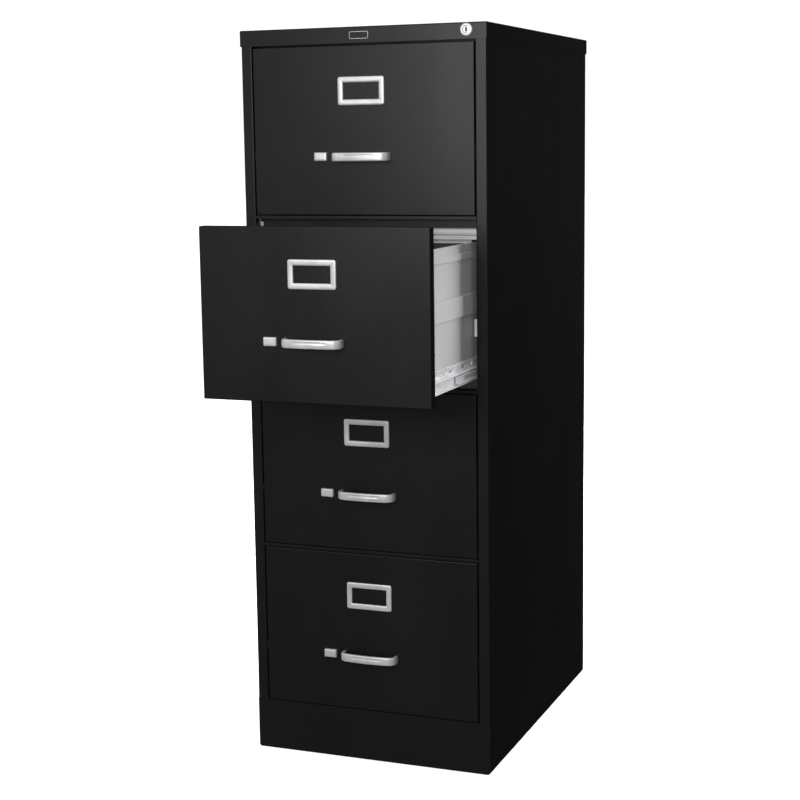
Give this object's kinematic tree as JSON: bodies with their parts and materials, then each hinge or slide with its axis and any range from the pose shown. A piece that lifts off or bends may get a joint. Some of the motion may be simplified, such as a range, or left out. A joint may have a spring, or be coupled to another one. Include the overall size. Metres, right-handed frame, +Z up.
{
  "type": "filing cabinet",
  "caption": "Upright office filing cabinet of painted sheet steel, with stacked drawers on telescopic slides, label holders, bow handles, thumb latches and a gang lock.",
  "frame": {"origin": "centre of the case's footprint, on the floor", "axes": "+X to the right seen from the front, +Y from the front to the back, +Z up"},
  "size_m": [0.4612, 0.8817, 1.3208],
  "materials": {
    "black_paint": "semi-gloss baked enamel",
    "grey_paint": "satin baked enamel",
    "zinc_steel": "bright zinc plate",
    "bright_chrome": "polished and slightly satin",
    "foot_plastic": "matte"
  },
  "bodies": {
    "case": {"left_side_panel": "black_paint", "right_side_panel": "black_paint", "back_panel": "black_paint", "top_cap": "black_paint", "base_pan": "black_paint", "kick_plate": "black_paint", "leveling_feet": "foot_plastic", "slide_posts": "zinc_steel", "front_rails": "black_paint", "rail_channels": "grey_paint", "case_slides": "zinc_steel", "lock_housing": "bright_chrome", "nameplate": "bright_chrome"},
    "lock_cylinder": {"lock_plug": "bright_chrome", "lock_cam": "zinc_steel"},
    "lock_bar": {"lock_bar": "zinc_steel"},
    "drawer_1": {"drawer_1_front": "black_paint", "drawer_1_front_liner": "grey_paint", "drawer_1_tray": "grey_paint", "drawer_1_label_holder": "bright_chrome", "drawer_1_handle": "bright_chrome", "drawer_1_slides": "zinc_steel", "drawer_1_follower_track": "zinc_steel"},
    "drawer_1_mid": {"drawer_1_mid_slides": "zinc_steel"},
    "drawer_1_latch": {"drawer_1_thumb_latch": "bright_chrome", "drawer_1_latch_bolt": "zinc_steel"},
    "drawer_1_follower_block": {"drawer_1_follower": "grey_paint"},
    "drawer_2": {"drawer_2_front": "black_paint", "drawer_2_front_liner": "grey_paint", "drawer_2_tray": "grey_paint", "drawer_2_label_holder": "bright_chrome", "drawer_2_handle": "bright_chrome", "drawer_2_slides": "zinc_steel", "drawer_2_follower_track": "zinc_steel"},
    "drawer_2_mid": {"drawer_2_mid_slides": "zinc_steel"},
    "drawer_2_latch": {"drawer_2_thumb_latch": "bright_chrome", "drawer_2_latch_bolt": "zinc_steel"},
    "drawer_2_follower_block": {"drawer_2_follower": "grey_paint"},
    "drawer_3": {"drawer_3_front": "black_paint", "drawer_3_front_liner": "grey_paint", "drawer_3_tray": "grey_paint", "drawer_3_label_holder": "bright_chrome", "drawer_3_handle": "bright_chrome", "drawer_3_slides": "zinc_steel", "drawer_3_follower_track": "zinc_steel"},
    "drawer_3_mid": {"drawer_3_mid_slides": "zinc_steel"},
    "drawer_3_latch": {"drawer_3_thumb_latch": "bright_chrome", "drawer_3_latch_bolt": "zinc_steel"},
    "drawer_3_follower_block": {"drawer_3_follower": "grey_paint"},
    "drawer_4": {"drawer_4_front": "black_paint", "drawer_4_front_liner": "grey_paint", "drawer_4_tray": "grey_paint", "drawer_4_label_holder": "bright_chrome", "drawer_4_handle": "bright_chrome", "drawer_4_slides": "zinc_steel", "drawer_4_follower_track": "zinc_steel"},
    "drawer_4_mid": {"drawer_4_mid_slides": "zinc_steel"},
    "drawer_4_latch": {"drawer_4_thumb_latch": "bright_chrome", "drawer_4_latch_bolt": "zinc_steel"},
    "drawer_4_follower_block": {"drawer_4_follower": "grey_paint"}
  },
  "joints": [
    {"name": "lock_turn", "type": "hinge", "parent": "case", "child": "lock_cylinder", "pos_m": [0.1938, -0.3175, 1.3084], "axis": [0, -1, 0], "range_deg": [0, 90]},
    {"name": "lock_bar_slide", "type": "slide", "parent": "case", "child": "lock_bar", "axis": [0, 0, -1], "range_m": [0, 0.009]},
    {"name": "drawer_1_slide", "type": "slide", "parent": "case", "child": "drawer_1", "axis": [0, -1, 0], "range_m": [0, 0.56]},
    {"name": "drawer_1_mid_slide", "type": "slide", "parent": "case", "child": "drawer_1_mid", "axis": [0, -1, 0], "range_m": [0, 0.28]},
    {"name": "drawer_1_thumb_slide", "type": "slide", "parent": "drawer_1", "child": "drawer_1_latch", "axis": [1, 0, 0], "range_m": [-0.004, 0.006], "stiffness_N_per_m": 200},
    {"name": "drawer_1_follower_slide", "type": "slide", "parent": "drawer_1", "child": "drawer_1_follower_block", "axis": [0, -1, 0], "range_m": [-0.07, 0.4]},
    {"name": "drawer_2_slide", "type": "slide", "parent": "case", "child": "drawer_2", "axis": [0, -1, 0], "range_m": [-0.2217, 0.3383]},
    {"name": "drawer_2_mid_slide", "type": "slide", "parent": "case", "child": "drawer_2_mid", "axis": [0, -1, 0], "range_m": [-0.11085, 0.16915]},
    {"name": "drawer_2_thumb_slide", "type": "slide", "parent": "drawer_2", "child": "drawer_2_latch", "axis": [1, 0, 0], "range_m": [-0.004, 0.006], "stiffness_N_per_m": 200},
    {"name": "drawer_2_follower_slide", "type": "slide", "parent": "drawer_2", "child": "drawer_2_follower_block", "axis": [0, -1, 0], "range_m": [-0.07, 0.4]},
    {"name": "drawer_3_slide", "type": "slide", "parent": "case", "child": "drawer_3", "axis": [0, -1, 0], "range_m": [0, 0.56]},
    {"name": "drawer_3_mid_slide", "type": "slide", "parent": "case", "child": "drawer_3_mid", "axis": [0, -1, 0], "range_m": [0, 0.28]},
    {"name": "drawer_3_thumb_slide", "type": "slide", "parent": "drawer_3", "child": "drawer_3_latch", "axis": [1, 0, 0], "range_m": [-0.004, 0.006], "stiffness_N_per_m": 200},
    {"name": "drawer_3_follower_slide", "type": "slide", "parent": "drawer_3", "child": "drawer_3_follower_block", "axis": [0, -1, 0], "range_m": [-0.07, 0.4]},
    {"name": "drawer_4_slide", "type": "slide", "parent": "case", "child": "drawer_4", "axis": [0, -1, 0], "range_m": [0, 0.56]},
    {"name": "drawer_4_mid_slide", "type": "slide", "parent": "case", "child": "drawer_4_mid", "axis": [0, -1, 0], "range_m": [0, 0.28]},
    {"name": "drawer_4_thumb_slide", "type": "slide", "parent": "drawer_4", "child": "drawer_4_latch", "axis": [1, 0, 0], "range_m": [-0.004, 0.006], "stiffness_N_per_m": 200},
    {"name": "drawer_4_follower_slide", "type": "slide", "parent": "drawer_4", "child": "drawer_4_follower_block", "axis": [0, -1, 0], "range_m": [-0.07, 0.4]}
  ],
  "couplings": [
    {"joint": "lock_turn", "follows": "lock_bar_slide", "rad_per_m": 174.53},
    {"joint": "drawer_1_mid_slide", "follows": "drawer_1_slide", "ratio": 0.5},
    {"joint": "drawer_2_mid_slide", "follows": "drawer_2_slide", "ratio": 0.5},
    {"joint": "drawer_3_mid_slide", "follows": "drawer_3_slide", "ratio": 0.5},
    {"joint": "drawer_4_mid_slide", "follows": "drawer_4_slide", "ratio": 0.5}
  ]
}
